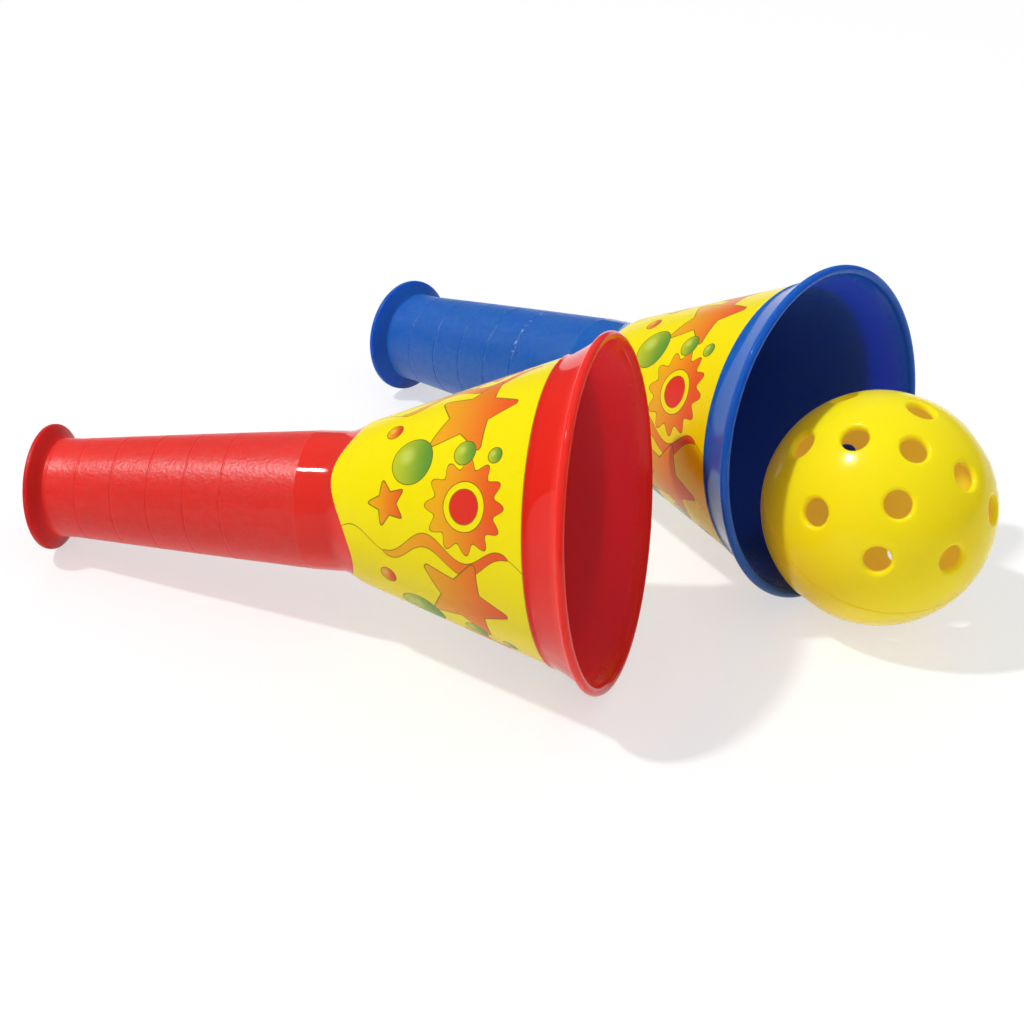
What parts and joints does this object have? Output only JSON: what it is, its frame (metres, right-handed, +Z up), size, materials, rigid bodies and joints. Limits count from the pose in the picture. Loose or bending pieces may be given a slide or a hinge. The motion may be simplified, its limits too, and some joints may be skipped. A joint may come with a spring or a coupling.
{
  "type": "ball catch toy",
  "caption": "Catch toy set: flared horn-shaped catchers with hollow grips and printed labels, and a perforated hollow ball that is tossed and caught in their mouths.",
  "frame": {"origin": "on the floor under the middle of the set's bounding box", "axes": "+Z up; +X along the middle line between the two catchers' axes, towards their mouths; +Y to the blue catcher's side"},
  "size_m": [0.2643, 0.1975, 0.1025],
  "materials": {
    "red_plastic": "glossy cone and lip, fine matte texture on the grip",
    "blue_plastic": "glossy cone and lip, fine matte texture on the grip",
    "label_film": "printed film, satin gloss",
    "ball_plastic": "soft gloss"
  },
  "bodies": {
    "blue_catcher": {"blue_catcher": "blue_plastic", "blue_label": "label_film"},
    "red_catcher": {"red_catcher": "red_plastic", "red_label": "label_film"},
    "ball": {"ball_front_half": "ball_plastic", "ball_back_half": "ball_plastic"}
  },
  "joints": [
    {"name": "ball_catch", "type": "slide", "parent": "blue_catcher", "child": "ball", "axis": [-0.8649, 0.214, 0.454], "range_m": [0, 0.039]},
    {"name": "red_catcher_lift", "type": "slide", "parent": "blue_catcher", "child": "red_catcher", "axis": [0, 0, 1], "range_m": [0, 0.15]}
  ]
}
